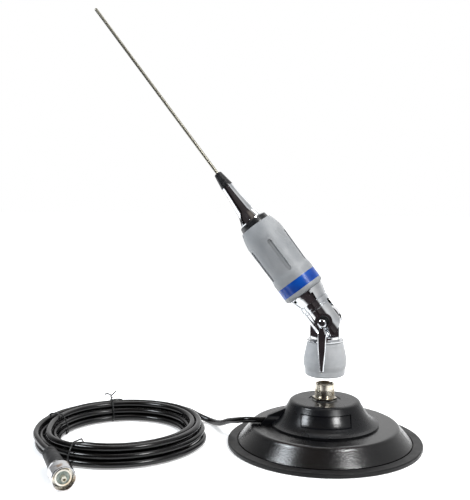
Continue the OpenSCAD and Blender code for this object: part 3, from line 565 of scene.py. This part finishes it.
def drawn_stainless_steel():
    # Whip: drawn stainless wire, its drawing marks run along it
    material, tree, shader = blank("drawn_stainless_steel", Metallic=1.0, Roughness=0.22)
    place = on_mast(tree)
    stretched = node(tree, "Mapping", {"Vector": place, "Scale": (1, 1, 0.02)}).outputs[0]
    mottle(tree, shader, stretched, "#8d8a7e", "#aaa79b", 0.002)
    uneven_gloss(tree, shader, stretched, 0.36, 0.46, 0.002)
    return material


def white_ptfe():
    # Insulators: waxy white fluoropolymer
    material, tree, shader = blank("white_ptfe", Roughness=0.4, IOR=1.4)
    place = node(tree, "TexCoord").outputs["Object"]
    mottle(tree, shader, place, "#dcdcd6", "#efefea", 0.004)
    tree.links.new(grain(tree, place, 0.0008, 0.00002), shader.inputs["Normal"])
    return material


def gold_flash():
    # Contacts: a thin gold flash over nickel
    material, tree, shader = blank("gold_flash", Metallic=1.0, Roughness=0.2)
    place = node(tree, "TexCoord").outputs["Object"]
    mottle(tree, shader, place, "#b8934a", "#dcc27e", 0.003)
    uneven_gloss(tree, shader, place, 0.14, 0.3, 0.002)
    return material


def zinc_plated_steel():
    # Screws, nut, washer and pole piece: bright zinc plate, faintly blue
    material, tree, shader = blank("zinc_plated_steel", Metallic=1.0, Roughness=0.3)
    place = node(tree, "TexCoord").outputs["Object"]
    mottle(tree, shader, place, "#9da2a7", "#c2c6ca", 0.004)
    uneven_gloss(tree, shader, place, 0.22, 0.4, 0.003)
    tree.links.new(grain(tree, place, 0.001, 0.00002), shader.inputs["Normal"])
    return material


def sintered_ferrite():
    # Ring magnet: dull dark grey ceramic
    material, tree, shader = blank("sintered_ferrite", Roughness=0.7, IOR=2.0)
    place = node(tree, "TexCoord").outputs["Object"]
    mottle(tree, shader, place, "#2d2d2f", "#3c3c3e", 0.005)
    tree.links.new(grain(tree, place, 0.0008, 0.00008), shader.inputs["Normal"])
    return material


def enamelled_copper():
    # Winding in the housing: copper wire under clear brown enamel
    material, tree, shader = blank("enamelled_copper", Metallic=0.9, Roughness=0.2, Coat_Weight=0.6)
    place = on_mast(tree)
    mottle(tree, shader, place, "#8a4420", "#a9602f", 0.006)
    return material


def cable_pvc():
    # Jacket of the coaxial lead: black PVC, satin, with the faint waviness that extrusion leaves
    material, tree, shader = blank("cable_pvc", Roughness=0.2, IOR=1.42)
    place = node(tree, "TexCoord").outputs["Object"]
    mottle(tree, shader, place, "#060606", "#0d0d0e", 0.012)
    uneven_gloss(tree, shader, place, 0.16, 0.22, 0.02)
    tree.links.new(grain(tree, place, 0.012, 0.00005, detail=1.0), shader.inputs["Normal"])
    return material


def tie_wire():
    # Ties and the lever's spacer: thin black plastic over wire
    material, tree, shader = blank("tie_wire", Roughness=0.4, IOR=1.5)
    place = node(tree, "TexCoord").outputs["Object"]
    mottle(tree, shader, place, "#0c0c0d", "#1a1a1b", 0.003)
    tree.links.new(grain(tree, place, 0.0008, 0.00004), shader.inputs["Normal"])
    return material


def sleeve_rubber():
    # Sleeve behind the plug: matt black rubber
    material, tree, shader = blank("sleeve_rubber", Roughness=0.5, IOR=1.38)
    place = node(tree, "TexCoord").outputs["Object"]
    mottle(tree, shader, place, "#0b0b0d", "#161618", 0.008)
    uneven_gloss(tree, shader, place, 0.42, 0.6, 0.005)
    tree.links.new(grain(tree, place, 0.0009, 0.00005), shader.inputs["Normal"])
    return material


def dress(material, *names):
    """Gives the named CAD pieces one material."""
    for name in names:
        mesh = nodes[name].data
        mesh.materials.clear()
        mesh.materials.append(material)


chrome = bright_chrome()
nickel = nickel_plated_brass()
zinc = zinc_plated_steel()
tie_skin = tie_wire()
dress(moulded_nitrile_rubber(), "magnet_boot")
dress(powder_coated_steel(), "magnet_cup")
dress(sintered_ferrite(), "ring_magnet")
dress(zinc, "pole_piece", "dome_screws", "socket_washer", "pivot_screw", "pivot_nut", "grub_screws")
dress(moulded_black_abs(), "base_dome")
dress(moulded_black_abs("moulded_outlet_abs", 0.3, 0.42), "cable_outlet")
dress(threaded_nickel(), "socket_shell")
dress(nickel, "socket_nut", "stem", "plug_body")
dress(bright_nickel(), "plug_ring")
dress(tinned_brass(), "plug_pin")
dress(moulded_phenolic(), "plug_insulator")
dress(white_ptfe(), "socket_insulator", "stem_insulator", "coil_former")
dress(gold_flash(), "socket_contact", "stem_pin")
dress(sleeve_rubber(), "plug_sleeve")
dress(grey_lacquer(), "coupling_ring")
dress(chrome, "swivel_base", "knuckle_fork", "lever_washer", "nut_washer", "whip_holder")
dress(tie_skin, "spacer_washer")
lever.data.materials.clear()
lever.data.materials.append(polished_die_casting())
dress(grey_nylon(), "coil_housing")
dress(blue_vinyl(), "label_band")
dress(enamelled_copper(), "loading_coil")
dress(black_acetal(), "top_ring")
dress(cap_rubber(), "whip_cap")
dress(drawn_stainless_steel(), "whip")
lead.data.materials.append(cable_pvc())
for tie in ties:
    tie.data.materials.append(tie_skin)


# Floor, lights and surroundings

def lay_floor():
    """White paper that keeps the shadows near the object and runs out to plain white.

    Polished metal sees the paper near it, which ends in front of the table, where the room is dark.
    """
    deselect_all()
    bpy.ops.mesh.primitive_plane_add(size=8, location=(0, 0, 0))
    floor = bpy.context.object
    floor.name = "studio_floor"
    material = bpy.data.materials.new("studio_paper")
    material.use_nodes = True
    tree = material.node_tree
    tree.nodes.clear()
    place = node(tree, "TexCoord").outputs["Object"]
    out = node(tree, "VectorMath", {0: place, 1: (-0.09, 0, 0)}, operation="DISTANCE").outputs["Value"]
    across, along, _ = node(tree, "SeparateXYZ", {"Vector": place}).outputs
    aside = node(tree, "Math", {0: across}, operation="ABSOLUTE")
    edge = node(tree, "Math", {0: aside.outputs[0], 1: 0.6, 2: along}, operation="MULTIPLY_ADD").outputs[0]
    bare = node(tree, "MapRange", {"Value": out, "From Min": 0.16, "From Max": 0.5, "To Min": PAPER_GLOW, "To Max": 1.0})
    front = node(tree, "MapRange", {"Value": edge, "From Min": -0.15, "From Max": -0.06, "To Min": 0.0, "To Max": 1.0})
    narrow = node(tree, "Mapping", {"Vector": place, "Scale": (0.55, 1, 1)}).outputs[0]
    reach = node(tree, "VectorMath", {0: narrow, 1: (-0.016, 0.24, 0)}, operation="DISTANCE").outputs["Value"]
    ends = node(tree, "MapRange", {"Value": reach, "From Min": 0.44, "From Max": 0.56, "To Min": 1.0, "To Max": 0.0})
    sheet = node(tree, "Math", {0: front.outputs[0], 1: ends.outputs[0]}, operation="MULTIPLY")
    ray = node(tree, "LightPath")
    mirrored = node(tree, "Math", {0: ray.outputs["Is Glossy Ray"], 1: ray.outputs["Is Transmission Ray"]}, operation="MAXIMUM")
    met = node(tree, "Math", {0: mirrored.outputs[0], 1: sheet.outputs[0]}, operation="MULTIPLY")
    met = node(tree, "Math", {0: met.outputs[0], 1: PAPER_GLOW}, operation="MULTIPLY")
    seen = node(tree, "Math", {0: ray.outputs["Is Camera Ray"], 1: bare.outputs[0]}, operation="MULTIPLY")
    lift = node(tree, "Math", {0: seen.outputs[0], 1: met.outputs[0]}, operation="ADD")
    glow = node(tree, "Emission", {"Color": (1, 1, 1, 1), "Strength": lift.outputs[0]})
    away = node(tree, "Math", {0: mirrored.outputs[0], 1: sheet.outputs[0]}, operation="SUBTRACT")
    dark = node(tree, "Math", {0: away.outputs[0], 1: 0.0}, operation="MAXIMUM")
    shade = node(tree, "Mix", {0: dark.outputs[0], 6: srgb("#f2f2f2"), 7: srgb("#2b2526")}, data_type="RGBA")
    paper = node(tree, "BsdfDiffuse", {"Color": shade.outputs[2]})
    both = node(tree, "AddShader", {0: paper.outputs[0], 1: glow.outputs[0]})
    node(tree, "OutputMaterial", {"Surface": both.outputs[0]})
    floor.data.materials.append(material)


def soft_box(name, place, target, size, watts, colour=(1, 1, 1)):
    """A large soft lamp that looks at a point."""
    data = bpy.data.lights.new(name, "AREA")
    data.shape = "RECTANGLE"
    data.size, data.size_y = size
    data.energy = watts
    data.color = colour
    lamp = bpy.data.objects.new(name, data)
    lamp.location = place
    lamp.rotation_euler = (Vector(target) - Vector(place)).to_track_quat("-Z", "Y").to_euler()
    scene.collection.objects.link(lamp)
    return lamp


def surround():
    """White all round for the eye. Polished metal sees white behind the object and the dark room in front."""
    world = bpy.data.worlds.new("studio")
    scene.world = world
    world.use_nodes = True
    tree = world.node_tree
    tree.nodes.clear()
    way = node(tree, "TexCoord").outputs["Generated"]
    round_about = node(tree, "TexGradient", {"Vector": way}, gradient_type="RADIAL")
    walls = node(tree, "ValToRGB", {"Fac": round_about.outputs["Fac"]})
    ramp = walls.color_ramp
    # Once round from the left end of the paper: the dark room lies between 0.02 and 0.53
    stops = (
        (0.0, 0.12), (0.03, 0.04), (0.18, 0.04), (0.27, 0.06), (0.35, 0.04), (0.38, 0.75), (0.43, 0.7), (0.48, 0.55),
        (0.54, 0.5), (0.62, 0.6), (0.70, 1.0), (0.84, 0.95), (0.92, 0.4), (1.0, 0.12),
    )
    while len(ramp.elements) < len(stops):
        ramp.elements.new(0.5)
    for element, (position, level) in zip(ramp.elements, stops):
        element.position = position
        element.color = (level, level * (0.85 if level < 0.1 else 1), level * (0.88 if level < 0.1 else 1), 1)
    height = node(tree, "SeparateXYZ", {"Vector": way}).outputs["Z"]
    sideways = node(tree, "VectorMath", {0: way, 1: (0.99, -0.13, 0)}, operation="DOT_PRODUCT").outputs["Value"]
    rise = node(tree, "Math", {0: sideways, 1: 0.0}, operation="MAXIMUM")
    lowered = node(tree, "Math", {0: rise.outputs[0], 1: -0.8, 2: height}, operation="MULTIPLY_ADD")
    above = node(tree, "MapRange", {"Value": lowered.outputs[0], "From Min": 0.6, "From Max": 0.95}, interpolation_type="SMOOTHSTEP")
    ceiling = node(tree, "Mix", {0: above.outputs[0], 6: walls.outputs[0], 7: srgb("#8d857d")}, data_type="RGBA")
    ray = node(tree, "LightPath")
    mirrored = node(tree, "Math", {0: ray.outputs["Is Glossy Ray"], 1: ray.outputs["Is Transmission Ray"]}, operation="MAXIMUM")
    plain = node(tree, "Mix", {0: mirrored.outputs[0], 6: (FILL, FILL, FILL, 1), 7: ceiling.outputs[2]}, data_type="RGBA")
    shown = node(tree, "Mix", {0: ray.outputs["Is Camera Ray"], 6: plain.outputs[2], 7: (1, 1, 1, 1)}, data_type="RGBA")
    background = node(tree, "Background", {"Color": shown.outputs[2], "Strength": 1.0})
    node(tree, "OutputWorld", {"Surface": background.outputs[0]})


lay_floor()
soft_box("key_box", (0.56, -0.50, 0.77), (0, 0, 0.04), (0.21, 0.21), 6.0)
soft_box("left_box", (-0.65, -0.41, 0.70), (0, 0, 0.04), (0.24, 0.24), 5.2, (0.9, 0.95, 1.0))
for side_lamp in (
    soft_box("right_box", (0.42, 0.05, 0.98), (0, 0, 0.1), (0.5, 0.5), 9),
    soft_box("low_left_box", (-0.85, 0.12, 0.22), (-0.05, 0, 0.15), (0.6, 0.3), 3.2, (0.9, 0.95, 1.0)),
):
    side_lamp.visible_glossy = False
soft_box("top_box", (-0.05, 0.22, 1.15), (-0.05, 0, 0.05), (0.7, 0.3), 2)
soft_box("back_box", (-0.1, 0.9, 0.9), (-0.05, 0, 0.05), (0.9, 0.5), 1.5)
surround()
scene.view_settings.view_transform = "Standard"
